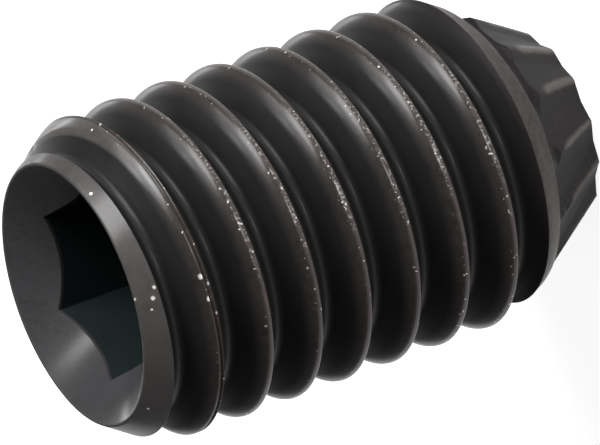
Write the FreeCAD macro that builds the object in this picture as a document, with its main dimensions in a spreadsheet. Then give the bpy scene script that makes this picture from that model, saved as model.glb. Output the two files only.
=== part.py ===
"""Socket set screw with a right-hand metric thread and a knurled cup point.

The screw is one piece. It stands on the rim of its cup, with +Z along its axis
and the hex socket on top. Lengths are in millimetres and angles in degrees.
"""
import FreeCAD, Part
import math
import os
import Sketcher

NODE = "grub_set_screw"

# alias, value, what it is
SIZES = (
    ("body_length", 9.75, "cup rim to the top of the socket rim"),
    ("thread_diameter", 5.97, "over the thread crests"),
    ("thread_pitch", 1.0, "from one crest to the next"),
    ("thread_angle", 60, "between the two flanks"),
    ("crest_flat", 0.125, "width of the crest along the axis"),
    ("root_round", 0.144, "radius at the bottom of the groove"),
    ("first_groove_drop", 0.323, "socket rim down to the first groove on the +X side"),
    ("rim_above_root", 0.003, "how far the socket rim's circle stands outside the thread root"),
    ("rim_round", 0.05, "radius over the top of the socket rim"),
    ("end_chamfer_angle", 66, "cone of the chamfer round the socket end"),
    ("dish_angle", 104, "cone of the countersink round the socket"),
    ("socket_flats", 3.08, "hex socket across its flats"),
    ("socket_depth", 3.8, "socket rim down to the end of the flats"),
    ("socket_turn", 35.5, "from +X round to a corner of the hex"),
    ("pilot_diameter", 2.9, "drill point below the hex"),
    ("pilot_angle", 118, "cone of the drill point"),
    ("point_diameter", 3.48, "over the teeth at the rim of the cup"),
    ("point_angle", 63, "cone of the knurled point"),
    ("cup_land", 0.19, "width of the flat rim that the screw stands on, at a tooth"),
    ("cup_angle", 120, "cone of the cup"),
    ("knurl_teeth", 14, "number of teeth round the point"),
    ("knurl_depth", 0.13, "depth of a notch below the cone of the point"),
    ("knurl_angle", 158, "between the two sides of a notch"),
    ("knurl_height", 1.35, "cup rim up to where a notch ends"),
    ("knurl_twist", 8.4, "turn of a notch round the axis over its height"),
    ("knurl_turn", 19.9, "from +X round to the first notch at the rim"),
    ("notch_tip", 0.02, "width of a notch's floor at the rim"),
    ("notch_end", 0.54, "width of a notch's floor where it ends"),
    ("overrun", 0.15, "how far a cutter goes past the metal"),
)

# Sizes that follow from the ones above
LENGTH = "sizes.body_length"
CREST_RADIUS = "sizes.thread_diameter / 2"
HALF_FLANK = "(sizes.thread_angle / 2 * 1 deg)"
GROOVE_HALF_WIDTH = "(sizes.thread_pitch - sizes.crest_flat) / 2"
FLANK_DEPTH = f"({GROOVE_HALF_WIDTH} - sizes.root_round * cos({HALF_FLANK})) / tan({HALF_FLANK})"
ROOT_DEPTH = f"{FLANK_DEPTH} + sizes.root_round * (1 - sin({HALF_FLANK}))"
ROOT_RADIUS = f"{CREST_RADIUS} - ({ROOT_DEPTH})"
RIM_RADIUS = f"{ROOT_RADIUS} + sizes.rim_above_root"
HALF_CHAMFER = "(sizes.end_chamfer_angle / 2 * 1 deg)"
HALF_DISH = "(sizes.dish_angle / 2 * 1 deg)"
HALF_POINT = "(sizes.point_angle / 2 * 1 deg)"
CUP_RADIUS = "sizes.point_diameter / 2 - sizes.cup_land"
HALF_CUP = "(sizes.cup_angle / 2 * 1 deg)"
HALF_PILOT = "(sizes.pilot_angle / 2 * 1 deg)"
HALF_KNURL = "(sizes.knurl_angle / 2 * 1 deg)"
THREAD_TURNS = "ceil(sizes.body_length / sizes.thread_pitch) + 1"
THREAD_START = f"{LENGTH} - sizes.first_groove_drop + sizes.thread_pitch * (1 - ({THREAD_TURNS}))"

doc = FreeCAD.newDocument("set_screw")


def make_sheet():
    """The driving sizes, one named cell each."""
    sheet = doc.addObject("Spreadsheet::Sheet", "sizes")
    for row, (alias, number, note) in enumerate(SIZES, start=1):
        sheet.set(f"A{row}", alias)
        sheet.set(f"B{row}", str(number))
        sheet.set(f"C{row}", note)
        sheet.setAlias(f"B{row}", alias)
    doc.recompute()
    return sheet


sizes = make_sheet()


def value(formula):
    """The number a formula gives now, with an angle in degrees."""
    result = sizes.evalExpression(formula)
    return float(getattr(result, "Value", result))


def radians(formula):
    return math.radians(value(formula))


def point(along, up):
    return FreeCAD.Vector(along, up, 0)


def origin_feature(body, role):
    """One of the body's own planes or axes."""
    return next(item for item in body.Origin.OriginFeatures if item.Role == role)


def add_sketch(body, name, plane):
    sketch = body.newObject("Sketcher::SketchObject", name)
    sketch.AttachmentSupport = [(origin_feature(body, plane), "")]
    sketch.MapMode = "FlatFace"
    return sketch


def bind(sketch, name, constraint, formula):
    """Add a dimension to a sketch and tie it to a formula on the sheet."""
    index = sketch.addConstraint(constraint)
    sketch.renameConstraint(index, name)
    sketch.setExpression(f"Constraints.{name}", formula)


def add_loop(sketch, corners):
    """Straight lines from corner to corner and back to the first; returns their numbers."""
    pairs = list(zip(corners, corners[1:] + corners[:1]))
    lines = [sketch.addGeometry(Part.LineSegment(start, end)) for start, end in pairs]
    for line, following in zip(lines, lines[1:] + lines[:1]):
        sketch.addConstraint(Sketcher.Constraint("Coincident", line, 2, following, 1))
    return lines


def add_feature(body, kind, name, **settings):
    """Add a feature to the end of the body."""
    feature = body.newObject(f"PartDesign::{kind}", name)
    for setting, content in settings.items():
        setattr(feature, setting, content)
    body.Tip = feature
    return feature


def blank_section(body):
    """Half section of the turned blank, with its cup, point, chamfer and countersink."""
    crest = value(CREST_RADIUS)
    cup = value(CUP_RADIUS)
    tip = value("sizes.point_diameter / 2")
    cup_top = cup / math.tan(radians(HALF_CUP))
    point_top = (crest - tip) / math.tan(radians(HALF_POINT))
    rim_round = value("sizes.rim_round")
    rim = point(value(RIM_RADIUS), value(LENGTH) - rim_round)
    chamfer = radians(HALF_CHAMFER)
    dish = radians(HALF_DISH)
    outer = rim + point(math.cos(chamfer), math.sin(chamfer)) * rim_round
    inner = rim + point(-math.cos(dish), math.sin(dish)) * rim_round
    shoulder = point(crest, outer.y - (crest - outer.x) / math.tan(chamfer))
    dish_bottom = point(0, inner.y - inner.x / math.tan(dish))

    sketch = add_sketch(body, "blank_section", "XZ_Plane")
    steps = [
        (point(cup, 0), point(0, cup_top)),
        (point(0, cup_top), dish_bottom),
        (dish_bottom, inner),
        (outer, shoulder),
        (shoulder, point(crest, point_top)),
        (point(crest, point_top), point(tip, 0)),
        (point(tip, 0), point(cup, 0)),
    ]
    cup_side, axis, dish_side, chamfer_side, barrel, point_side, land = [
        sketch.addGeometry(Part.LineSegment(start, end)) for start, end in steps
    ]
    circle = Part.Circle(rim, FreeCAD.Vector(0, 0, 1), rim_round)
    nose = sketch.addGeometry(Part.ArcOfCircle(circle, chamfer, math.pi - dish))
    chain = (land, cup_side, axis, dish_side)
    for line, following in zip(chain, chain[1:]):
        sketch.addConstraint(Sketcher.Constraint("Coincident", line, 2, following, 1))
    chain = (chamfer_side, barrel, point_side, land)
    for line, following in zip(chain, chain[1:]):
        sketch.addConstraint(Sketcher.Constraint("Coincident", line, 2, following, 1))
    sketch.addConstraint(Sketcher.Constraint("Tangent", dish_side, 2, nose, 2))
    sketch.addConstraint(Sketcher.Constraint("Tangent", nose, 1, chamfer_side, 1))
    sketch.addConstraint(Sketcher.Constraint("PointOnObject", axis, 1, -2))
    sketch.addConstraint(Sketcher.Constraint("PointOnObject", axis, 2, -2))
    sketch.addConstraint(Sketcher.Constraint("PointOnObject", land, 1, -1))
    sketch.addConstraint(Sketcher.Constraint("PointOnObject", land, 2, -1))
    sketch.addConstraint(Sketcher.Constraint("Vertical", barrel))

    def distance(kind, geometry, end, length):
        return Sketcher.Constraint(kind, -1, 1, geometry, end, length)

    bind(sketch, "cup_radius", distance("DistanceX", land, 2, cup), CUP_RADIUS)
    bind(sketch, "point_radius", distance("DistanceX", land, 1, tip), "sizes.point_diameter / 2")
    bind(sketch, "crest_radius", distance("DistanceX", barrel, 1, crest), CREST_RADIUS)
    bind(sketch, "rim_radius", distance("DistanceX", nose, 3, rim.x), RIM_RADIUS)
    bind(sketch, "rim_height", distance("DistanceY", nose, 3, rim.y), f"{LENGTH} - sizes.rim_round")
    bind(sketch, "rim_round", Sketcher.Constraint("Radius", nose, rim_round), "sizes.rim_round")
    tilts = (
        ("cup_tilt", cup_side, f"90 deg + {HALF_CUP}"),
        ("dish_tilt", dish_side, f"90 deg - {HALF_DISH}"),
        ("chamfer_tilt", chamfer_side, f"{HALF_CHAMFER} - 90 deg"),
        ("point_tilt", point_side, f"-90 deg - {HALF_POINT}"),
    )
    for name, line, formula in tilts:
        bind(sketch, name, Sketcher.Constraint("Angle", line, radians(formula)), formula)
    return sketch


def notch_section(body, name, height, floor):
    """One notch of the knurl, cut across at a height above the cup rim, with a floor that wide."""
    rise = f"({height}) / sizes.knurl_height"
    bottom = f"sizes.point_diameter / 2 + ({height}) * tan({HALF_POINT}) - sizes.knurl_depth"
    reach = "sizes.knurl_depth + sizes.overrun"
    deep = value(bottom)
    wide = deep + value(reach)
    half_floor = value(floor) / 2
    half_mouth = half_floor + value(reach) * math.tan(radians(HALF_KNURL))
    sketch = add_sketch(body, name, "XY_Plane")
    turn = f"sizes.knurl_turn - sizes.knurl_twist * {rise}"
    sketch.AttachmentOffset = FreeCAD.Placement(
        FreeCAD.Vector(0, 0, value(height)), FreeCAD.Rotation(FreeCAD.Vector(0, 0, 1), value(turn))
    )
    sketch.setExpression("AttachmentOffset.Base.z", height)
    sketch.setExpression("AttachmentOffset.Rotation.Angle", f"({turn}) * 1 deg")
    corners = [
        point(deep, half_floor),
        point(deep, -half_floor),
        point(wide, -half_mouth),
        point(wide, half_mouth),
    ]
    flat, side, back, _ = add_loop(sketch, corners)
    sketch.addConstraint(Sketcher.Constraint("Symmetric", flat, 1, flat, 2, -1))
    sketch.addConstraint(Sketcher.Constraint("Symmetric", back, 1, back, 2, -1))
    bind(sketch, "bottom", Sketcher.Constraint("DistanceX", -1, 1, flat, 1, deep), bottom)
    bind(sketch, "mouth", Sketcher.Constraint("DistanceX", -1, 1, back, 1, wide), f"{bottom} + {reach}")
    bind(sketch, "floor", Sketcher.Constraint("DistanceY", flat, 2, flat, 1, value(floor)), floor)
    tilt = f"-{HALF_KNURL}"
    bind(sketch, "side", Sketcher.Constraint("Angle", side, radians(tilt)), tilt)
    return sketch


def add_knurl(body):
    """Slanting notches round the point, their floors wider away from the cup rim."""
    low = notch_section(body, "notch_below_rim", "-sizes.overrun", "sizes.notch_tip")
    high = notch_section(body, "notch_at_its_end", "sizes.knurl_height", "sizes.notch_end")
    notch = add_feature(body, "SubtractiveLoft", "notch", Profile=low, Sections=[high], Ruled=True)
    doc.recompute()
    knurl = add_feature(
        body, "PolarPattern", "knurl", Originals=[notch], Axis=(origin_feature(body, "Z_Axis"), [""])
    )
    knurl.setExpression("Occurrences", "sizes.knurl_teeth")
    knurl.Angle = 360


def add_socket(body):
    """Hex socket, and the drill point below it."""
    corner = "sizes.socket_flats / sqrt(3)"
    sketch = add_sketch(body, "hexagon", "XY_Plane")
    sketch.AttachmentOffset = FreeCAD.Placement(
        FreeCAD.Vector(0, 0, value(LENGTH)), FreeCAD.Rotation()
    )
    sketch.setExpression("AttachmentOffset.Base.z", LENGTH)
    sides = 6
    first_turn = value("sizes.socket_turn")
    corners = []
    for side in range(sides):
        turn = math.radians(first_turn + side * 360 / sides)
        corners.append(point(math.cos(turn), math.sin(turn)) * value(corner))
    lines = add_loop(sketch, corners)
    centre = FreeCAD.Vector(0, 0, 0)
    circle = sketch.addGeometry(Part.Circle(centre, FreeCAD.Vector(0, 0, 1), value(corner)), True)
    spoke = sketch.addGeometry(Part.LineSegment(centre, corners[0]), True)
    sketch.addConstraint(Sketcher.Constraint("Coincident", circle, 3, -1, 1))
    sketch.addConstraint(Sketcher.Constraint("Coincident", spoke, 1, -1, 1))
    sketch.addConstraint(Sketcher.Constraint("Coincident", spoke, 2, lines[0], 1))
    for line in lines:
        sketch.addConstraint(Sketcher.Constraint("PointOnObject", line, 1, circle))
    for line in lines[1:]:
        sketch.addConstraint(Sketcher.Constraint("Equal", lines[0], line))
    bind(sketch, "corner", Sketcher.Constraint("Radius", circle, value(corner)), corner)
    turn = "sizes.socket_turn * 1 deg"
    bind(sketch, "turn", Sketcher.Constraint("Angle", spoke, radians(turn)), turn)
    pocket = add_feature(body, "Pocket", "hex_socket", Profile=sketch, Length=value("sizes.socket_depth"))
    pocket.setExpression("Length", "sizes.socket_depth")

    floor = f"{LENGTH} - sizes.socket_depth"
    pilot = "sizes.pilot_diameter / 2"
    height = value(floor)
    radius = value(pilot)
    tip = height - radius / math.tan(radians(HALF_PILOT))
    sketch = add_sketch(body, "drill_point_section", "XZ_Plane")
    top, slope, axis = add_loop(sketch, [point(0, height), point(radius, height), point(0, tip)])
    sketch.addConstraint(Sketcher.Constraint("Horizontal", top))
    sketch.addConstraint(Sketcher.Constraint("PointOnObject", axis, 1, -2))
    sketch.addConstraint(Sketcher.Constraint("PointOnObject", axis, 2, -2))
    bind(sketch, "floor", Sketcher.Constraint("DistanceY", -1, 1, top, 1, height), floor)
    bind(sketch, "radius", Sketcher.Constraint("DistanceX", top, 1, top, 2, radius), pilot)
    tilt = f"-90 deg - {HALF_PILOT}"
    bind(sketch, "slope", Sketcher.Constraint("Angle", slope, radians(tilt)), tilt)
    add_feature(body, "Groove", "drill_point", Profile=sketch, ReferenceAxis=(sketch, ["V_Axis"]), Angle=360)


def groove_section(body):
    """The thread groove where it starts, clear below the metal it cuts."""
    half_flank = radians(HALF_FLANK)
    start = value(THREAD_START)
    root_round = value("sizes.root_round")
    mouth = f"{CREST_RADIUS} + sizes.overrun"
    half_mouth = f"{GROOVE_HALF_WIDTH} + sizes.overrun * tan({HALF_FLANK})"
    centre_radius = f"{ROOT_RADIUS} + sizes.root_round"
    bottom = point(value(centre_radius), start)
    run = point(-math.sin(half_flank), math.cos(half_flank)) * root_round
    upper = bottom + run
    lower = bottom + point(run.x, -run.y)
    upper_mouth = point(value(mouth), start + value(half_mouth))
    lower_mouth = point(value(mouth), start - value(half_mouth))

    sketch = add_sketch(body, "groove_section", "XZ_Plane")
    upper_flank = sketch.addGeometry(Part.LineSegment(upper_mouth, upper))
    lower_flank = sketch.addGeometry(Part.LineSegment(lower, lower_mouth))
    back = sketch.addGeometry(Part.LineSegment(lower_mouth, upper_mouth))
    circle = Part.Circle(bottom, FreeCAD.Vector(0, 0, 1), root_round)
    sweep = math.pi / 2 - half_flank
    root = sketch.addGeometry(Part.ArcOfCircle(circle, math.pi - sweep, math.pi + sweep))
    sketch.addConstraint(Sketcher.Constraint("Tangent", upper_flank, 2, root, 1))
    sketch.addConstraint(Sketcher.Constraint("Tangent", root, 2, lower_flank, 1))
    sketch.addConstraint(Sketcher.Constraint("Coincident", lower_flank, 2, back, 1))
    sketch.addConstraint(Sketcher.Constraint("Coincident", back, 2, upper_flank, 1))
    sketch.addConstraint(Sketcher.Constraint("Vertical", back))
    bind(sketch, "root_round", Sketcher.Constraint("Radius", root, root_round), "sizes.root_round")
    bind(sketch, "root", Sketcher.Constraint("DistanceX", -1, 1, root, 3, bottom.x), centre_radius)
    bind(sketch, "start", Sketcher.Constraint("DistanceY", -1, 1, root, 3, start), THREAD_START)
    bind(sketch, "mouth", Sketcher.Constraint("DistanceX", -1, 1, back, 1, upper_mouth.x), mouth)
    tilt = f"180 deg + {HALF_FLANK}"
    bind(sketch, "upper", Sketcher.Constraint("Angle", upper_flank, radians(tilt)), tilt)
    tilt = f"-{HALF_FLANK}"
    bind(sketch, "lower", Sketcher.Constraint("Angle", lower_flank, radians(tilt)), tilt)
    return sketch


def add_thread(body):
    """Right-hand groove that runs out through both ends."""
    sketch = groove_section(body)
    thread = add_feature(
        body, "SubtractiveHelix", "thread", Profile=sketch, ReferenceAxis=(sketch, ["V_Axis"])
    )
    thread.Mode = "pitch-turns-angle"
    thread.LeftHanded = False
    thread.Reversed = False
    thread.setExpression("Pitch", "sizes.thread_pitch")
    thread.setExpression("Turns", THREAD_TURNS)


def make_screw():
    body = doc.addObject("PartDesign::Body", NODE)
    body.Label = NODE
    sketch = blank_section(body)
    add_feature(body, "Revolution", "blank", Profile=sketch, ReferenceAxis=(sketch, ["V_Axis"]), Angle=360)
    doc.recompute()
    add_knurl(body)
    doc.recompute()
    add_socket(body)
    doc.recompute()
    add_thread(body)
    doc.recompute()
    return body


def check(body):
    """Every object is sound, every cut has cut, and the screw is one solid."""
    for item in doc.Objects:
        for fault in ("Invalid", "Error"):
            if fault in item.State:
                raise RuntimeError(f"{item.Name} is {item.State}")
    volume = None
    for feature in body.Group:
        if not feature.isDerivedFrom("PartDesign::Feature"):
            continue
        if volume is not None and feature.Shape.Volume >= volume:
            raise RuntimeError(f"{feature.Name} cuts nothing")
        volume = feature.Shape.Volume
        print(f"{feature.Name}: {volume:.3f} mm3")
    if body.Shape.isNull() or not body.Shape.isValid():
        raise RuntimeError(f"{body.Label} has no valid shape")
    if len(body.Shape.Solids) != 1:
        raise RuntimeError(f"{body.Label} has {len(body.Shape.Solids)} solids")


screw = make_screw()
check(screw)
os.makedirs("parts", exist_ok=True)
screw.Shape.exportStep(f"parts/{screw.Label}.step")
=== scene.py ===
import math
import random

import bpy
from mathutils import Matrix, Vector


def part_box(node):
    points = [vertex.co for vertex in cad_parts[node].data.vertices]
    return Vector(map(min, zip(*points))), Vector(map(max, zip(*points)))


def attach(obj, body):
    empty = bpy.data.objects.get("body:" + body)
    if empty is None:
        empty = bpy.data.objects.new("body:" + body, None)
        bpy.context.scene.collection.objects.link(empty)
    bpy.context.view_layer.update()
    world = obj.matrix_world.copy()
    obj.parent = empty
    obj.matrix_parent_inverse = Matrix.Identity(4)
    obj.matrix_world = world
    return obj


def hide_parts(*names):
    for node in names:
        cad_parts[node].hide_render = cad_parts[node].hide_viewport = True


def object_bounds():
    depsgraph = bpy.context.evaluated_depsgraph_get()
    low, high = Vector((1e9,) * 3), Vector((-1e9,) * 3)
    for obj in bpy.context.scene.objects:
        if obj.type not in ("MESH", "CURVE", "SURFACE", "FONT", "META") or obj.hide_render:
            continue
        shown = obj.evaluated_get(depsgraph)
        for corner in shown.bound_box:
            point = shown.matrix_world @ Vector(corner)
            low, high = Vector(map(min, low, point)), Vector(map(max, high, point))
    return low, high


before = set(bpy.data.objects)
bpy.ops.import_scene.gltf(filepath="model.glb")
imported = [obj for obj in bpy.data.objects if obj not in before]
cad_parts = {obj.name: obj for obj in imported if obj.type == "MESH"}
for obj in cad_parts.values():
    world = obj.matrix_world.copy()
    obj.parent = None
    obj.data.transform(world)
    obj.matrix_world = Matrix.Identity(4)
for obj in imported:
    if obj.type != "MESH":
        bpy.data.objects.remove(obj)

bl_info = {
    "name": "Set Screw",
    "version": (1, 0, 0),
    "blender": (4, 5, 0),
    "location": "3D View > Sidebar > Set Screw",
    "description": "A knurled cup point set screw in oiled black oxide, on a pale studio floor",
    "category": "Add Mesh",
}

NODE = "grub_set_screw"
CAD_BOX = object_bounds()
LOW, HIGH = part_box(NODE)
# Pieces are drawn in millimetres and brought to metres when they are finished
MM = 0.001
LENGTH = (HIGH.z - LOW.z) / MM
CREST = (HIGH.x - LOW.x) / 2 / MM
# Corners closer than this, in millimetres, are welded
WELD = 2e-5


# ---------------------------------------------------------------- sizes and colours

class ScrewSizes(bpy.types.PropertyGroup):
    """What a maker would change on the screw, in millimetres and degrees."""

    length: bpy.props.FloatProperty(
        name="Length", description="Cup rim to the top of the socket rim", default=LENGTH)
    crest_radius: bpy.props.FloatProperty(
        name="Crest radius", description="Axis to the thread crest", default=CREST)
    pitch: bpy.props.FloatProperty(
        name="Pitch", description="From one crest to the next", default=1.0)
    crest_flat: bpy.props.FloatProperty(
        name="Crest flat", description="Width of the crest along the axis", default=0.125)
    crest_round: bpy.props.FloatProperty(
        name="Crest round", description="Radius at the socket side of the crest", default=0.16)
    swell_round: bpy.props.FloatProperty(
        name="Swell round", description="Radius of the swell below the crest round", default=0.7)
    swell_angle: bpy.props.FloatProperty(
        name="Swell", description="How far the flank turns over its swell", default=math.radians(20),
        subtype="ANGLE")
    seam_depth: bpy.props.FloatProperty(
        name="Seam", description="Depth of the rolled seam in the first crest", default=0.07)
    root_round: bpy.props.FloatProperty(
        name="Root round", description="Radius at the bottom of the groove", default=0.144)
    first_groove_drop: bpy.props.FloatProperty(
        name="First groove", description="Socket rim down to the first groove on the +X side", default=0.323)
    flank_angle: bpy.props.FloatProperty(
        name="Flank angle", description="Flank to a plane across the axis", default=math.radians(30),
        subtype="ANGLE")
    rim_round: bpy.props.FloatProperty(
        name="Rim round", description="Radius over the top of the socket rim", default=0.05)
    chamfer_angle: bpy.props.FloatProperty(
        name="End chamfer", description="Chamfer to the axis", default=math.radians(33), subtype="ANGLE")
    dish_angle: bpy.props.FloatProperty(
        name="Countersink", description="Countersink to the axis", default=math.radians(52), subtype="ANGLE")
    socket_flats: bpy.props.FloatProperty(
        name="Socket", description="Hex socket across its flats", default=3.08)
    socket_depth: bpy.props.FloatProperty(
        name="Socket depth", description="Socket rim down to the end of the flats", default=3.8)
    socket_turn: bpy.props.FloatProperty(
        name="Socket turn", description="From +X round to a corner of the hex", default=math.radians(35.5),
        subtype="ANGLE")
    pilot_radius: bpy.props.FloatProperty(
        name="Drill point", description="Radius of the drill point below the hex", default=1.45)
    pilot_angle: bpy.props.FloatProperty(
        name="Drill angle", description="Drill point to the axis", default=math.radians(59), subtype="ANGLE")
    point_radius: bpy.props.FloatProperty(
        name="Point radius", description="Axis to a tooth at the rim of the cup", default=1.74)
    point_angle: bpy.props.FloatProperty(
        name="Point angle", description="Cone of the point to the axis", default=math.radians(31.5),
        subtype="ANGLE")
    cup_land: bpy.props.FloatProperty(
        name="Cup land", description="Width of the flat rim of the cup", default=0.19)
    cup_angle: bpy.props.FloatProperty(
        name="Cup angle", description="Cone of the cup to the axis", default=math.radians(60),
        subtype="ANGLE")
    knurl_teeth: bpy.props.IntProperty(
        name="Teeth", description="Number of teeth round the point", default=14)
    knurl_depth: bpy.props.FloatProperty(
        name="Notch depth", description="Depth of a notch below the cone", default=0.13)
    knurl_angle: bpy.props.FloatProperty(
        name="Notch angle", description="Side of a notch to its middle", default=math.radians(79),
        subtype="ANGLE")
    knurl_height: bpy.props.FloatProperty(
        name="Notch height", description="Cup rim up to where a notch ends", default=1.35)
    knurl_twist: bpy.props.FloatProperty(
        name="Notch twist", description="Turn of a notch over its height", default=math.radians(8.4),
        subtype="ANGLE")
    knurl_turn: bpy.props.FloatProperty(
        name="Knurl turn", description="From +X round to the first notch at the rim",
        default=math.radians(19.9), subtype="ANGLE")
    notch_tip: bpy.props.FloatProperty(
        name="Notch tip", description="Width of a notch's floor at the rim", default=0.02)
    notch_end: bpy.props.FloatProperty(
        name="Notch end", description="Width of a notch's floor where it ends", default=0.54)
    steps: bpy.props.IntProperty(
        name="Steps", description="Faces round one turn of the thread", default=192)


class FinishColours(bpy.types.PropertyGroup):
    """Colours of the black oxide, of the steel where it is nicked, and of a painted highlight along the
    crests.
    """

    groove: bpy.props.FloatVectorProperty(
        name="Grooves", description="Oxide down in the grooves", default=(0.006, 0.006, 0.006),
        subtype="COLOR")
    crest: bpy.props.FloatVectorProperty(
        name="Crests", description="Brown tinge beside the crests", default=(0.036, 0.0255, 0.022),
        subtype="COLOR")
    dish: bpy.props.FloatVectorProperty(
        name="Countersink", description="Greyer oxide in the countersink", default=(0.020, 0.0195, 0.021),
        subtype="COLOR")
    chamfer: bpy.props.FloatVectorProperty(
        name="Chamfer", description="Greyer oxide on the end chamfer", default=(0.030, 0.028, 0.027),
        subtype="COLOR")
    ridge: bpy.props.FloatVectorProperty(
        name="Tooth ridges", description="Rubbed tops of the knurled teeth", default=(0.034, 0.029, 0.026),
        subtype="COLOR")
    valley: bpy.props.FloatVectorProperty(
        name="Tooth valleys", description="Between the knurled teeth", default=(0.006, 0.005, 0.0048),
        subtype="COLOR")
    socket: bpy.props.FloatVectorProperty(
        name="Socket", description="Walls of the hexagon", default=(0.004, 0.0075, 0.0075), subtype="COLOR")
    # Painted highlight with some rubbed steel in it: lighter colour laid only on the crest tops that face
    # the camera and the front lamp
    scuff_highlight: bpy.props.FloatVectorProperty(
        name="Scuffs", description="Rubbed crest line", default=(0.42, 0.40, 0.38), subtype="COLOR")
    nick: bpy.props.FloatVectorProperty(
        name="Nicks", description="Bare steel in the nicks", default=(0.75, 0.72, 0.68), subtype="COLOR")


class StageSettings(bpy.types.PropertyGroup):
    """Floor, lights and camera."""

    floor_colour: bpy.props.FloatVectorProperty(
        name="Floor", description="Colour of the floor", default=(0.4, 0.4, 0.4), subtype="COLOR")


# ---------------------------------------------------------------- modelling by hand

def select_only(*objects):
    if bpy.context.mode != "OBJECT":
        bpy.ops.object.mode_set(mode="OBJECT")
    bpy.ops.object.select_all(action="DESELECT")
    for item in objects:
        item.select_set(True)
    bpy.context.view_layer.objects.active = objects[0]


def begin(name):
    """A new mesh of one vertex at the origin, in edit mode and selected."""
    if bpy.context.mode != "OBJECT":
        bpy.ops.object.mode_set(mode="OBJECT")
    bpy.ops.object.select_all(action="DESELECT")
    bpy.ops.mesh.primitive_plane_add(size=1)
    piece = bpy.context.object
    piece.name = name
    bpy.ops.object.mode_set(mode="EDIT")
    bpy.ops.mesh.merge(type="CENTER")
    return piece


def draw_chain(name, section):
    """A line of edges through (radius, height) points on the +X side of the axis."""
    piece = begin(name)
    points = [Vector((radius, 0, height)) for radius, height in section]
    bpy.ops.transform.translate(value=points[0])
    for start, end in zip(points, points[1:]):
        bpy.ops.mesh.extrude_region_move(TRANSFORM_OT_translate={"value": end - start})
    bpy.ops.object.mode_set(mode="OBJECT")
    return piece


def apply_modifier(piece, kind, **settings):
    select_only(piece)
    modifier = piece.modifiers.new(kind.title(), kind)
    for setting, content in settings.items():
        setattr(modifier, setting, content)
    bpy.ops.object.modifier_apply(modifier=modifier.name)


def turn_solid(piece, steps, rise=0.0, turns=1):
    """Sweep a chain round the axis, rising as it goes."""
    apply_modifier(
        piece, "SCREW", axis="Z", angle=math.tau, screw_offset=rise, iterations=turns,
        steps=steps, render_steps=steps, use_merge_vertices=True, merge_threshold=1e-5,
        use_smooth_shade=True)


def tidy_mesh(piece):
    """Weld what meets and point every face outwards."""
    select_only(piece)
    bpy.ops.object.mode_set(mode="EDIT")
    bpy.ops.mesh.select_all(action="SELECT")
    bpy.ops.mesh.remove_doubles(threshold=WELD)
    bpy.ops.mesh.normals_make_consistent(inside=False)
    bpy.ops.object.mode_set(mode="OBJECT")


def combine(piece, other, operation):
    """Cut, or keep what two solids share; the other solid is used up."""
    apply_modifier(piece, "BOOLEAN", operation=operation, object=other, solver="EXACT")
    mesh = other.data
    bpy.data.objects.remove(other)
    bpy.data.meshes.remove(mesh)


def arc(centre, radius, start, end, steps):
    """Points round part of a circle, in radius and height, ends included."""
    points = []
    for step in range(steps + 1):
        turn = start + (end - start) * step / steps
        points.append((centre[0] + radius * math.cos(turn), centre[1] + radius * math.sin(turn)))
    return points


# ---------------------------------------------------------------- the screw

def thread_section(sizes):
    """One pitch of the thread, from the bottom of one groove to the next, crest in the middle."""
    slope = math.tan(sizes.flank_angle)
    lean = math.pi / 2 - sizes.flank_angle
    half_flat = sizes.crest_flat / 2
    top = half_flat - sizes.crest_round * math.tan(lean / 2)
    swell_start = lean - sizes.swell_angle
    crest = arc((sizes.crest_radius - sizes.crest_round, top), sizes.crest_round, 0, swell_start, steps=7)
    inward = sizes.swell_round - sizes.crest_round
    swell_centre = (
        sizes.crest_radius - sizes.crest_round - inward * math.cos(swell_start),
        top - inward * math.sin(swell_start))
    swell = arc(swell_centre, sizes.swell_round, swell_start, lean, steps=5)[1:]
    # The two rounds take up the whole crest, so the far one gets what this one leaves
    far_round = sizes.crest_flat / math.tan(lean / 2) - sizes.crest_round
    far_crest = arc((sizes.crest_radius - far_round, -top), far_round, 0, lean, steps=5)
    half_groove = sizes.pitch / 2 - half_flat
    root_run = sizes.root_round * math.cos(sizes.flank_angle)
    depth = (half_groove - root_run) / slope + sizes.root_round * (1 - math.sin(sizes.flank_angle))
    bottom = (sizes.crest_radius - depth + sizes.root_round, sizes.pitch / 2)
    root = arc(bottom, sizes.root_round, math.pi + lean, math.pi, steps=4)
    upper = crest + swell + root
    lower = [(radius, -height) for radius, height in reversed(far_crest + root)]
    return lower[:-1] + upper, depth


def first_crest(sizes):
    """Height of a crest line on the +X side, just above the screw."""
    return sizes.length - sizes.first_groove_drop + 1.5 * sizes.pitch


def make_rod(sizes):
    """A threaded rod, longer than the screw at both ends."""
    section, depth = thread_section(sizes)
    spare_turns = 3
    turns = math.ceil(sizes.length / sizes.pitch) + spare_turns
    crest_height = first_crest(sizes)
    start = crest_height - turns * sizes.pitch
    chain = [(radius, start + height) for radius, height in section]
    rod = draw_chain("rod", chain)
    turn_solid(rod, sizes.steps, rise=sizes.pitch, turns=turns)
    spare = 0.3
    select_only(rod)
    bpy.ops.object.mode_set(mode="EDIT")
    for height, side in ((-spare, -1), (sizes.length + spare, 1)):
        bpy.ops.mesh.select_all(action="SELECT")
        bpy.ops.mesh.bisect(
            plane_co=(0, 0, height), plane_no=(0, 0, side), use_fill=True, clear_outer=True,
            threshold=1e-6)
    bpy.ops.object.mode_set(mode="OBJECT")
    tidy_mesh(rod)
    fold_seam(rod, sizes, crest_height)
    return rod, depth


def helix_offset(place, sizes, crest_height):
    """A place's height above the nearest crest line, and that line's depth below the socket rim."""
    turn = math.atan2(place.y, place.x) / math.tau
    line = crest_height + turn * sizes.pitch
    offset = (place.z - line + sizes.pitch / 2) % sizes.pitch - sizes.pitch / 2
    return offset, sizes.length - (place.z - offset)


def fade(amount, start, end):
    """1 up to the start, 0 from the end on, and a smooth fall between."""
    share = min(max((end - amount) / (end - start), 0), 1)
    return share * share * (3 - 2 * share)


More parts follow.
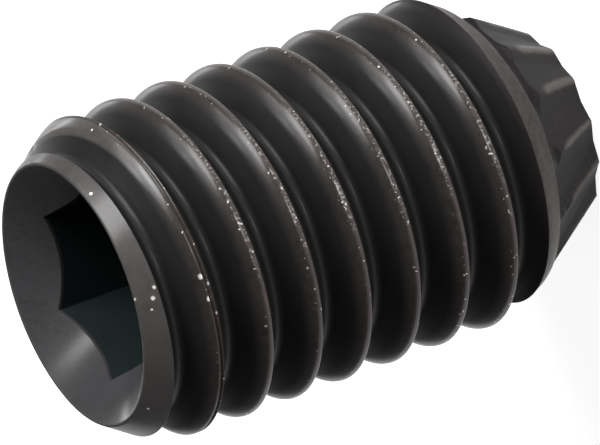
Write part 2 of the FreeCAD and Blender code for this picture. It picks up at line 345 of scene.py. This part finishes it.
def fold_seam(rod, sizes, crest_height):
    """Press in the seam that rolling left in the first crest below the socket."""
    middle = -0.02
    half_width = 0.04
    whole_down_to = 1.15
    closed_from = 1.6
    for vertex in rod.data.vertices:
        radius = vertex.co.xy.length
        if radius < sizes.crest_radius - sizes.crest_round:
            continue
        offset, below = helix_offset(vertex.co, sizes, crest_height)
        deep = max(1 - abs(offset - middle) / half_width, 0)
        deep *= fade(below, whole_down_to, closed_from)
        sunk = 1 - sizes.seam_depth * deep / radius
        vertex.co.x *= sunk
        vertex.co.y *= sunk


def point_levels(sizes):
    """Heights of the rings of the point, closer where a notch ends."""
    notch_rings = 14
    above_notch = (0.035, 0.1, 0.18, 0.26, 0.35, 0.45, 0.55, 0.65)
    levels = [sizes.knurl_height * ring / notch_rings for ring in range(notch_rings + 1)]
    return levels + [sizes.knurl_height + rise for rise in above_notch]


def cone_radius(sizes, height):
    return sizes.point_radius + height * math.tan(sizes.point_angle)


def blank_section(sizes, depth):
    """Half section of the blank with its ends finished, wider than the thread."""
    wide = sizes.crest_radius + 0.2
    cup = sizes.point_radius - sizes.cup_land
    rim = (sizes.crest_radius - depth, sizes.length - sizes.rim_round)
    nose = arc(rim, sizes.rim_round, sizes.chamfer_angle, math.pi - sizes.dish_angle, steps=6)
    outer, inner = nose[0], nose[-1]
    shoulder = (wide, outer[1] - (wide - outer[0]) / math.tan(sizes.chamfer_angle))
    cone = [(cone_radius(sizes, level), level) for level in point_levels(sizes)]
    point_top = (wide, (wide - sizes.point_radius) / math.tan(sizes.point_angle))
    dish_bottom = (0, inner[1] - inner[0] / math.tan(sizes.dish_angle))
    start = [(0, cup / math.tan(sizes.cup_angle)), (cup, 0)]
    return start + cone + [point_top, shoulder] + nose + [dish_bottom]


def make_blank(sizes, depth, crest_height):
    columns = 16
    blank = draw_chain("blank", blank_section(sizes, depth))
    turn_solid(blank, sizes.knurl_teeth * columns)
    tidy_mesh(blank)
    raise_lost_crest(blank, sizes, crest_height)
    press_knurl(blank, sizes, columns)
    return blank


def raise_lost_crest(blank, sizes, crest_height):
    """Where the last crest runs out over the point, the cone swells a little."""
    swell = 0.06
    spread = 0.16
    # Heights of the crest line where the swell comes in, and where it goes again
    comes_in = (0.74, 0.86)
    goes = (1.2, 1.7)
    for vertex in blank.data.vertices:
        radius = vertex.co.xy.length
        if vertex.co.z <= 0 or abs(radius - cone_radius(sizes, vertex.co.z)) > 1e-4:
            continue
        offset, below = helix_offset(vertex.co, sizes, crest_height)
        line = sizes.length - below
        along = (1 - fade(line, *comes_in)) * fade(line, *goes)
        growth = 1 + swell * along * math.exp(-(offset / spread) ** 2) / radius
        vertex.co.x *= growth
        vertex.co.y *= growth


def press_knurl(blank, sizes, columns):
    """Press notches into the cone of the point, which turn as they run up it from the rim."""
    tooth_turn = math.tau / sizes.knurl_teeth
    half_turn = tooth_turn / 2
    floor_columns = 3
    slope = 1 / math.tan(sizes.knurl_angle)
    chance = random.Random(5)
    depths = [sizes.knurl_depth * chance.uniform(0.8, 1.1) for _ in range(sizes.knurl_teeth)]
    for vertex in blank.data.vertices:
        radius = vertex.co.xy.length
        if radius < WELD:
            continue
        height = vertex.co.z
        on_cone = radius > cone_radius(sizes, height) - 1e-3
        rise = min(height / sizes.knurl_height, 1) if on_cone else 0
        column = round(math.atan2(vertex.co.y, vertex.co.x) / tooth_turn * columns)
        tooth, place = divmod(column + columns // 2, columns)
        place -= columns // 2
        turn = place / columns * tooth_turn
        if on_cone and height <= sizes.knurl_height + 1e-4:
            deep = sizes.knurl_depth if abs(place) == columns // 2 else depths[tooth % sizes.knurl_teeth]
            bottom = cone_radius(sizes, height) - deep
            half_floor = (sizes.notch_tip + (sizes.notch_end - sizes.notch_tip) * rise) / 2
            floor_turn = math.atan(half_floor / bottom)
            if abs(place) <= floor_columns:
                turn = floor_turn * place / floor_columns
                pressed = bottom / math.cos(turn)
            else:
                share = (abs(place) - floor_columns) / (columns / 2 - floor_columns)
                turn = math.copysign(floor_turn + (half_turn - floor_turn) * share, place)
                side = math.cos(turn) - slope * math.sin(abs(turn))
                pressed = (bottom - slope * half_floor) / side
            radius = min(radius, pressed)
        angle = tooth * tooth_turn + turn + sizes.knurl_turn - sizes.knurl_twist * rise
        vertex.co.x = radius * math.cos(angle)
        vertex.co.y = radius * math.sin(angle)


def make_socket_cutter(sizes):
    """The hex punch, standing where it cuts the socket."""
    bpy.ops.object.select_all(action="DESELECT")
    bottom = sizes.length - sizes.socket_depth
    top = sizes.length + 1
    bpy.ops.mesh.primitive_cylinder_add(
        vertices=6, radius=sizes.socket_flats / math.sqrt(3), depth=top - bottom,
        location=(0, 0, (top + bottom) / 2))
    punch = bpy.context.object
    bpy.ops.object.transform_apply(location=True, rotation=True, scale=True)
    # Of the two corners furthest along +X, the one on the +Y side
    first = max(punch.data.vertices, key=lambda vertex: vertex.co.x + 1e-3 * vertex.co.y)
    turn = sizes.socket_turn - math.atan2(first.co.y, first.co.x)
    punch.data.transform(Matrix.Rotation(turn, 4, "Z"))
    return punch


def make_drill(sizes):
    """The drill point that left a cone below the hex."""
    bpy.ops.object.select_all(action="DESELECT")
    bottom = sizes.length - sizes.socket_depth
    tip = sizes.pilot_radius / math.tan(sizes.pilot_angle)
    spare = 0.5
    wall = sizes.pilot_radius
    chain = [(0, bottom - tip), (wall, bottom), (wall, bottom + spare), (0, bottom + spare)]
    drill = draw_chain("drill", chain)
    turn_solid(drill, steps=96)
    tidy_mesh(drill)
    return drill


def finish_piece(piece, name):
    """Bring a finished piece from millimetres to metres, at the origin."""
    select_only(piece)
    piece.name = name
    piece.data.name = name
    piece.scale = (MM, MM, MM)
    bpy.ops.object.transform_apply(location=True, rotation=True, scale=True)


class SCREW_OT_add_screw(bpy.types.Operator):
    """Model the set screw and give it its finish"""

    bl_idname = "screw.add_screw"
    bl_label = "Set screw"

    def execute(self, context):
        sizes = context.scene.screw_sizes
        screw, depth = make_rod(sizes)
        combine(screw, make_blank(sizes, depth, first_crest(sizes)), "INTERSECT")
        combine(screw, make_socket_cutter(sizes), "DIFFERENCE")
        combine(screw, make_drill(sizes), "DIFFERENCE")
        tidy_mesh(screw)
        finish_piece(screw, "set_screw")
        bpy.ops.object.shade_smooth_by_angle(angle=math.radians(32))
        screw.data.materials.clear()
        screw.data.materials.append(black_oxide(sizes, context.scene.screw_colours, depth))
        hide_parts(NODE)
        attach(screw, "root")
        return {"FINISHED"}


# ---------------------------------------------------------------- finishes

class Wire:
    """A shader socket that takes part in sums; each sum adds the Math node that it needs."""

    def __init__(self, shader, socket):
        self.shader = shader
        self.socket = socket

    def __add__(self, other):
        return self.shader.maths("ADD", self, other)

    def __sub__(self, other):
        return self.shader.maths("SUBTRACT", self, other)

    def __rsub__(self, other):
        return self.shader.maths("SUBTRACT", other, self)

    def __mul__(self, other):
        return self.shader.maths("MULTIPLY", self, other)

    def __truediv__(self, other):
        return self.shader.maths("DIVIDE", self, other)

    __radd__ = __add__
    __rmul__ = __mul__


class Shader:
    """One material, and the ways to add nodes to it."""

    def __init__(self, name):
        self.material = bpy.data.materials.new(name)
        self.material.use_nodes = True
        self.tree = self.material.node_tree
        self.surface = self.tree.nodes["Principled BSDF"]

    def node(self, kind, settings, values):
        """A node with its settings, and then a number or a wire for each of its sockets."""
        node = self.tree.nodes.new(kind)
        for setting, content in settings.items():
            setattr(node, setting, content)
        self.feed(node, values)
        return node

    def feed(self, node, values):
        for place, content in values.items():
            if isinstance(content, Wire):
                self.tree.links.new(content.socket, node.inputs[place])
            else:
                node.inputs[place].default_value = content

    def wire(self, kind, settings, values, output=0):
        return Wire(self, self.node(kind, settings, values).outputs[output])

    def maths(self, operation, *terms):
        return self.wire("ShaderNodeMath", {"operation": operation}, dict(enumerate(terms)))

    def rise(self, amount, low, high):
        """0 up to the low amount, 1 from the high one on, and smooth between."""
        values = {"Value": amount, "From Min": low, "From Max": high}
        return self.wire("ShaderNodeMapRange", {"interpolation_type": "SMOOTHSTEP"}, values)

    def fall(self, amount, low, high):
        """1 up to the low amount, 0 from the high one on, and smooth between."""
        return 1 - self.rise(amount, low, high)

    def noise(self, place, scale, detail=2.0):
        return self.wire("ShaderNodeTexNoise", {}, {"Vector": place, "Scale": scale, "Detail": detail})

    def mix(self, share, first, second):
        """The first colour, going over to the second."""
        colours = [content if isinstance(content, Wire) else (*content, 1) for content in (first, second)]
        values = {0: share, 6: colours[0], 7: colours[1]}
        return self.wire("ShaderNodeMix", {"data_type": "RGBA"}, values, output=2)


# Small bright dings: turn from +X in degrees, distance from the axis, height below the socket rim, size
DINGS = (
    (-97.5, 2.60, 0.33, 0.045),
    (-101.5, 2.56, 0.27, 0.05),
    (-100.2, 2.40, 0.00, 0.04),
    (-105.8, 2.53, 0.21, 0.035),
    (-51.5, 2.46, 0.10, 0.04),
    (-28.2, 2.98, 0.94, 0.045),
    (-27.8, 2.90, 0.79, 0.035),
    (-98.5, 2.98, 1.05, 0.06),
    (-101.5, 2.98, 1.14, 0.05),
    (-106.5, 2.98, 1.11, 0.06),
    (-112.0, 2.98, 1.19, 0.04),
    (-155.8, 2.50, 0.16, 0.035),
)


def black_oxide(sizes, colours, depth):
    """Oiled black oxide: dull in the grooves, brown and nicked along the crests, greyer at the ends, with a
    painted highlight along the crests on the side that faces the camera.
    """
    shader = Shader("black_oxide_steel")
    metres = shader.wire("ShaderNodeTexCoord", {}, {}, output="Object")
    place = shader.wire("ShaderNodeVectorMath", {"operation": "SCALE"}, {0: metres, "Scale": 1 / MM})
    parts = shader.node("ShaderNodeSeparateXYZ", {}, {0: place})
    x, y, z = [Wire(shader, socket) for socket in parts.outputs]
    radius = shader.maths("SQRT", x * x + y * y)
    turn = shader.maths("ARCTAN2", y, x) / math.tau
    below = sizes.length - z

    # Above the crest line, in millimetres, from half a pitch below it to half a pitch above
    along = z - first_crest(sizes) - turn * sizes.pitch
    above_crest = shader.maths("WRAP", along, sizes.pitch / 2, -sizes.pitch / 2)
    near_crest = shader.rise(radius, sizes.crest_radius - 0.2, sizes.crest_radius - 0.02)
    crest_top = shader.rise(radius, sizes.crest_radius - 0.05, sizes.crest_radius - 0.01)
    socket_side = shader.rise(above_crest, -0.05, 0.06)

    # How far off a cut surface its own finish fades, in millimetres
    edge = (0.03, 0.07)
    rim_radius = sizes.crest_radius - depth
    chamfer_gap = below * math.tan(sizes.chamfer_angle) + rim_radius - radius
    chamfer = shader.fall(chamfer_gap, *edge) * shader.fall(below, 0.9, 0.96)
    dish_gap = below - (rim_radius - radius) / math.tan(sizes.dish_angle)
    dish = shader.fall(dish_gap, *edge) * shader.fall(radius, rim_radius - 0.05, rim_radius + 0.02)
    bore = shader.fall(radius, 1.8, 1.84) * shader.rise(dish_gap, *edge) * shader.rise(z, 1.5, 1.6)
    point_gap = z * math.tan(sizes.point_angle) + sizes.point_radius - radius
    point = shader.fall(point_gap, 0.16, 0.22) * shader.fall(z, 2.0, 2.06)

    cloud = shader.noise(place, 1.6)
    grain = shader.noise(place, 9.0)
    speck = shader.noise(place, 26.0)
    mottle = cloud * 0.9 + grain * 0.8 + 0.15

    nicks = shader.rise(shader.noise(place, 14.0, 1.0), 0.69, 0.76) * crest_top * 0.6
    # Rubbed steel along the crest top, laid only on the side that faces -Y and a little of +X, towards the
    # camera and the front lamp, where it is a painted highlight
    highlight_side = shader.rise((x * 0.25 - y) / radius, 0.88, 1.0)
    top_line = shader.rise(radius, sizes.crest_radius - 0.014, sizes.crest_radius - 0.004)
    scuff_highlight = highlight_side * top_line * shader.rise(shader.noise(place, 20.0), 0.52, 0.66) * 0.4
    for degrees, out, down, size in DINGS:
        angle = math.radians(degrees)
        centre = (out * math.cos(angle), out * math.sin(angle), sizes.length - down)
        away = shader.wire(
            "ShaderNodeVectorMath", {"operation": "DISTANCE"}, {0: place, 1: centre}, output="Value")
        nicks = shader.maths("MAXIMUM", nicks, shader.fall(away + speck * 0.03, size * 0.7, size * 1.3))

    tinge = near_crest * grain * (1.0 - socket_side * 0.5)
    colour = shader.mix(tinge, colours.groove, colours.crest)
    colour = shader.mix(dish, colour, colours.dish)
    colour = shader.mix(chamfer, colour, colours.chamfer)
    teeth_end = shader.rise(radius, 2.2, 2.36)
    worn_ridge = shader.fall(point_gap + teeth_end * 0.04 - grain * 0.02, 0.0, 0.05)
    tooth = shader.mix(worn_ridge, colours.valley, colours.ridge)
    colour = shader.mix(point, colour, tooth)
    colour = shader.mix(bore, colour, colours.socket)
    shade = shader.mix(mottle, (0.35, 0.35, 0.35), (1.3, 1.3, 1.3))
    colour = shader.wire(
        "ShaderNodeMix", {"data_type": "RGBA", "blend_type": "MULTIPLY"}, {0: 1.0, 6: colour, 7: shade},
        output=2)
    # Painted highlight along the crest tops on the camera side, partly rubbed steel
    colour = shader.mix(scuff_highlight, colour, colours.scuff_highlight)
    colour = shader.mix(nicks, colour, colours.nick)

    ends = shader.maths("MAXIMUM", shader.maths("MAXIMUM", dish, chamfer), point)
    roughness = cloud * 0.12 + speck * 0.08 + 0.38 + ends * 0.1 + bore * 0.2
    dry = shader.maths("MAXIMUM", bore, point * (1.0 - worn_ridge * 0.8))
    oil = (near_crest * 0.34 + ends * 0.26 + 0.07) * (1.0 - dry)

    soft_edges = shader.wire("ShaderNodeBevel", {"samples": 6}, {"Radius": 0.03 * MM})
    relief = grain * (ends * 0.7 + 0.5) + speck * (dish * 0.5 + 0.3) - nicks * 0.8
    bumps = {"Strength": 0.35, "Distance": 0.012 * MM, "Height": relief, "Normal": soft_edges}
    normal = shader.wire("ShaderNodeBump", {}, bumps)
    shader.feed(shader.surface, {
        "Base Color": colour,
        "Roughness": roughness,
        "Metallic": shader.maths("MAXIMUM", nicks * 0.9, scuff_highlight * 0.8),
        "IOR": 1.5,
        "Specular IOR Level": 0.14,
        "Coat Weight": oil,
        "Coat Roughness": 0.2,
        "Normal": normal,
    })
    return shader.material


def light_table(colour):
    """A pale floor that glows a little, as a light table does."""
    shader = Shader("light_table")
    shader.feed(shader.surface, {
        "Base Color": (*colour, 1),
        "Roughness": 0.9,
        "Emission Color": (1, 1, 1, 1),
        "Emission Strength": 0.88,
    })
    return shader.material


# ---------------------------------------------------------------- stage

# Direction from the screw, distance, width and height in metres, and how brightly the card glows
LIGHTS = {
    "key": ((0.64, -0.2, 0.75), 0.2, (0.15, 0.12), 4.5),
    "key_strip": ((0.70, -0.49, 0.52), 0.19, (0.09, 0.14), 13.0),
    "dish_spot": ((0.50, 0.03, 0.865), 0.2, (0.045, 0.03), 13.0),
    "front": ((0.05, -1.0, 0.09), 0.2, (0.05, 0.034), 22.0),
    "back": ((0.42, 0.87, 0.30), 0.22, (0.25, 0.11), 0.25),
    "back_low": ((0.38, 0.92, 0.08), 0.22, (0.15, 0.03), 6.0),
}


def aim(item, place, target):
    item.location = place
    item.rotation_euler = (Vector(target) - Vector(place)).to_track_quat("-Z", "Y").to_euler()


def add_area(name, place, target, size, power):
    bpy.ops.object.light_add(type="AREA")
    light = bpy.context.object
    light.name = name
    light.data.shape = "RECTANGLE"
    light.data.size, light.data.size_y = size
    light.data.energy = power
    aim(light, place, target)


class SCREW_OT_add_stage(bpy.types.Operator):
    """Lay the floor, hang the lights and set the camera"""

    bl_idname = "screw.add_stage"
    bl_label = "Studio"

    def execute(self, context):
        settings = context.scene.screw_stage
        bpy.ops.object.select_all(action="DESELECT")
        bpy.ops.mesh.primitive_plane_add(size=1.2, location=(0, 0, LOW.z))
        floor = bpy.context.object
        floor.name = "floor"
        bpy.ops.object.transform_apply(location=True, rotation=True, scale=True)
        floor.data.materials.append(light_table(settings.floor_colour))

        elevation = math.radians(25.564)
        roll = math.radians(19.678)
        backward = Vector((0, -math.cos(elevation), math.sin(elevation)))
        right = Vector((
            -math.sin(roll), -math.sin(elevation) * math.cos(roll), -math.cos(elevation) * math.cos(roll)))
        up = backward.cross(right)
        distance = 0.2221
        # The view is this wide across a plane a little nearer than the target
        view_width = 10.377 * MM
        nearer = 2.1 * MM
        sensor = 36
        aim_shift = (0.204 * MM, 0.222 * MM)
        low, high = CAD_BOX
        centre = (Vector(low) + Vector(high)) / 2
        bpy.ops.object.camera_add()
        camera = bpy.context.object
        camera.name = "camera"
        target = centre - right * aim_shift[0] - up * aim_shift[1]
        place = target + backward * distance
        rotation = Matrix((right, up, backward)).transposed().to_4x4()
        camera.matrix_world = Matrix.Translation(place) @ rotation
        camera.data.sensor_width = sensor
        camera.data.lens = sensor * (distance - nearer) / view_width
        camera.data.clip_start = 0.01
        context.scene.camera = camera

        world = bpy.data.worlds.new("studio")
        world.use_nodes = True
        background = world.node_tree.nodes["Background"]
        background.inputs["Color"].default_value = (1, 1, 1, 1)
        background.inputs["Strength"].default_value = 0.1
        context.scene.world = world
        for name, (direction, away, card, glow) in LIGHTS.items():
            place = centre + Vector(direction).normalized() * away
            add_area(name, place, centre, card, glow * math.pi * card[0] * card[1])
        context.scene.view_settings.view_transform = "Standard"
        context.scene.view_settings.look = "None"
        return {"FINISHED"}


class SCREW_PT_panel(bpy.types.Panel):
    """Sidebar panel with the screw's operators and settings."""

    bl_label = "Set Screw"
    bl_idname = "SCREW_PT_panel"
    bl_space_type = "VIEW_3D"
    bl_region_type = "UI"
    bl_category = "Set Screw"

    def draw(self, context):
        for operator in (SCREW_OT_add_screw, SCREW_OT_add_stage):
            self.layout.operator(operator.bl_idname)
        for group in (context.scene.screw_sizes, context.scene.screw_colours, context.scene.screw_stage):
            for name in group.__annotations__:
                self.layout.prop(group, name)


CLASSES = (ScrewSizes, FinishColours, StageSettings, SCREW_OT_add_screw, SCREW_OT_add_stage, SCREW_PT_panel)


def register():
    for item in CLASSES:
        bpy.utils.register_class(item)
    bpy.types.Scene.screw_sizes = bpy.props.PointerProperty(type=ScrewSizes)
    bpy.types.Scene.screw_colours = bpy.props.PointerProperty(type=FinishColours)
    bpy.types.Scene.screw_stage = bpy.props.PointerProperty(type=StageSettings)


def unregister():
    del bpy.types.Scene.screw_stage
    del bpy.types.Scene.screw_colours
    del bpy.types.Scene.screw_sizes
    for item in reversed(CLASSES):
        bpy.utils.unregister_class(item)


def main():
    register()
    bpy.ops.screw.add_screw()
    bpy.ops.screw.add_stage()


if __name__ == "__main__":
    main()
